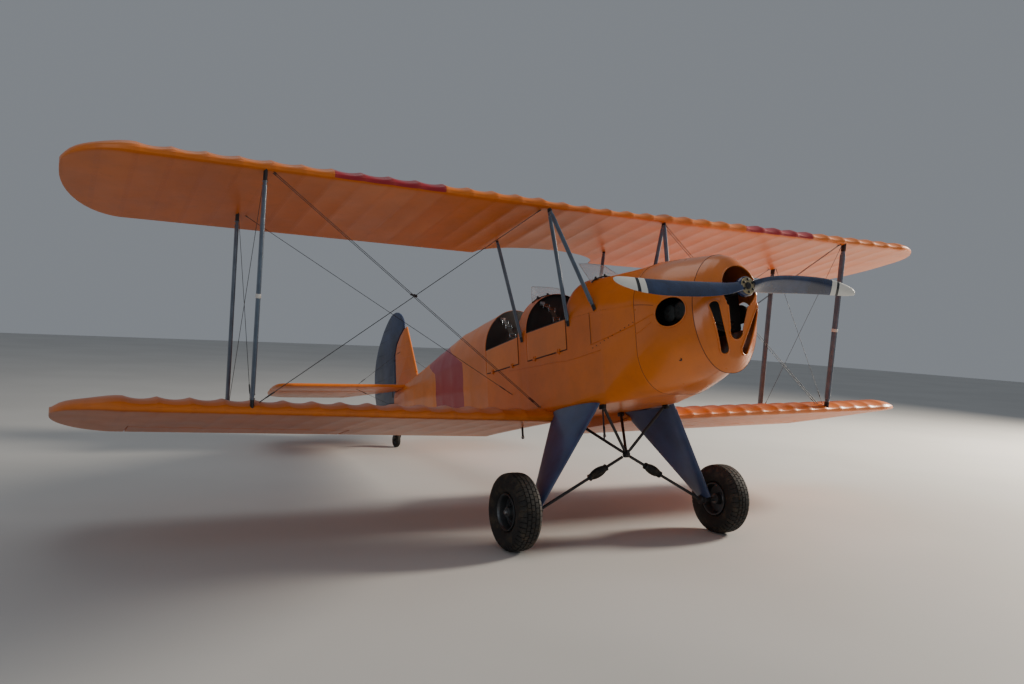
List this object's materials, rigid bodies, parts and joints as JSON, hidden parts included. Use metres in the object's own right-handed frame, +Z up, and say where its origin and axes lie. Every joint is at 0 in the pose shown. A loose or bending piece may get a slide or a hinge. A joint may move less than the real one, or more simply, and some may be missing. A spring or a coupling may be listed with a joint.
{
  "type": "two-seat light biplane",
  "caption": "Open-cockpit tail-wheel biplane: fabric-covered wings and body, round-holed engine cowl, wooden propeller, wire bracing, folding cockpit doors, chunky tyres.",
  "frame": {"origin": "on the ground at the middle of the bounding box, the biplane parked on its main wheels and tail wheel", "axes": "+X forward, towards the propeller; +Y to its left, along the span; +Z up. The thrust line points 12 degrees above +X"},
  "size_m": [6.7698, 7.6, 2.5509],
  "materials": {
    "orange_fabric": "doped fabric, satin",
    "orange_metal": "gloss paint",
    "navy_fabric": "doped fabric, satin",
    "navy_wood": "painted laminated wood",
    "navy_metal": "satin paint",
    "strut_paint": "satin paint",
    "tyre_rubber": "matte rubber",
    "wheel_rim": "cast, satin",
    "dark_steel": "satin black paint",
    "engine_metal": "dark, dusty",
    "seat_cover": "soft, matte",
    "clear_screen": "clear sheet",
    "wire_steel": "plain"
  },
  "bodies": {
    "airframe": {"fuselage_shell": "orange_fabric", "deck_front": "orange_fabric", "deck_middle": "orange_fabric", "fuselage_rear": "orange_fabric", "upper_wing_right": "orange_fabric", "upper_wing_left": "orange_fabric", "lower_wing_right": "orange_fabric", "lower_wing_left": "orange_fabric", "stabiliser": "orange_fabric", "fin": "orange_fabric", "cowl_main": "orange_metal", "cowl_nose": "orange_metal", "engine_block": "engine_metal", "wing_strut_front_right": "strut_paint", "wing_strut_front_left": "strut_paint", "wing_strut_rear_right": "strut_paint", "wing_strut_rear_left": "strut_paint", "cabane_front_right": "strut_paint", "cabane_front_left": "strut_paint", "cabane_rear_right": "strut_paint", "cabane_rear_left": "strut_paint", "flying_wires_right": "wire_steel", "flying_wires_left": "wire_steel", "landing_wires_right": "wire_steel", "landing_wires_left": "wire_steel", "windscreen_front": "clear_screen", "windscreen_rear": "clear_screen", "seat_front": "seat_cover", "seat_rear": "seat_cover", "gear_leg_right": "navy_metal", "gear_leg_left": "navy_metal", "gear_pyramid": "dark_steel", "shock_strut_right": "dark_steel", "shock_strut_left": "dark_steel", "tail_spring": "dark_steel"},
    "propeller": {"propeller": "navy_wood"},
    "wheel_right": {"tyre_right": "tyre_rubber", "rim_right": "wheel_rim"},
    "wheel_left": {"tyre_left": "tyre_rubber", "rim_left": "wheel_rim"},
    "tail_fork": {"tail_fork": "dark_steel"},
    "tail_wheel": {"tail_wheel": "tyre_rubber"},
    "rudder": {"rudder": "navy_fabric"},
    "elevator": {"elevator": "orange_fabric"},
    "aileron_right": {"aileron_right": "orange_fabric"},
    "aileron_left": {"aileron_left": "orange_fabric"},
    "door_front_right": {"door_front_right": "orange_fabric"},
    "door_front_left": {"door_front_left": "orange_fabric"},
    "door_rear_right": {"door_rear_right": "orange_fabric"},
    "door_rear_left": {"door_rear_left": "orange_fabric"}
  },
  "joints": [
    {"name": "propeller_spin", "type": "hinge", "parent": "airframe", "child": "propeller", "pos_m": [3.38757, 0, 1.88574], "axis": [0.9781, 0, 0.2079], "continuous": true},
    {"name": "wheel_right_spin", "type": "hinge", "parent": "airframe", "child": "wheel_right", "pos_m": [2.19749, -0.93, 0.27], "axis": [0, 1, 0], "continuous": true},
    {"name": "wheel_left_spin", "type": "hinge", "parent": "airframe", "child": "wheel_left", "pos_m": [2.19749, 0.93, 0.27], "axis": [0, 1, 0], "continuous": true},
    {"name": "tail_wheel_swivel", "type": "hinge", "parent": "airframe", "child": "tail_fork", "pos_m": [-2.48742, 0, 0.08506], "axis": [0, 0, 1], "range_deg": [-35, 35]},
    {"name": "tail_wheel_spin", "type": "hinge", "parent": "tail_fork", "child": "tail_wheel", "pos_m": [-2.53242, 0, 0.08506], "axis": [0, 1, 0], "continuous": true},
    {"name": "rudder_turn", "type": "hinge", "parent": "airframe", "child": "rudder", "pos_m": [-2.61752, 0, 0.67781], "axis": [-0.2079, 0, 0.9781], "range_deg": [-28, 28]},
    {"name": "elevator_turn", "type": "hinge", "parent": "airframe", "child": "elevator", "pos_m": [-2.55394, 0, 0.69133], "axis": [0, 1, 0], "range_deg": [-22, 26]},
    {"name": "aileron_right_turn", "type": "hinge", "parent": "airframe", "child": "aileron_right", "pos_m": [0.80571, -1.7, 0.68539], "axis": [0.0058, 0.9996, -0.0274], "range_deg": [-20, 20]},
    {"name": "aileron_left_turn", "type": "hinge", "parent": "airframe", "child": "aileron_left", "pos_m": [0.80571, 1.7, 0.68539], "axis": [-0.0058, 0.9996, 0.0274], "range_deg": [-20, 20]},
    {"name": "door_front_right_fold", "type": "hinge", "parent": "airframe", "child": "door_front_right", "pos_m": [1.54258, -0.356, 1.33102], "axis": [0.9781, 0, 0.2079], "range_deg": [0, 110]},
    {"name": "door_front_left_fold", "type": "hinge", "parent": "airframe", "child": "door_front_left", "pos_m": [1.54258, 0.356, 1.33102], "axis": [-0.9781, 0, -0.2079], "range_deg": [0, 110]},
    {"name": "door_rear_right_fold", "type": "hinge", "parent": "airframe", "child": "door_rear_right", "pos_m": [0.80017, -0.35059, 1.17322], "axis": [0.978, -0.0143, 0.2079], "range_deg": [0, 110]},
    {"name": "door_rear_left_fold", "type": "hinge", "parent": "airframe", "child": "door_rear_left", "pos_m": [0.80017, 0.35059, 1.17322], "axis": [-0.978, -0.0143, -0.2079], "range_deg": [0, 110]}
  ],
  "couplings": [
    {"joint": "aileron_left_turn", "follows": "aileron_right_turn", "ratio": -1}
  ]
}
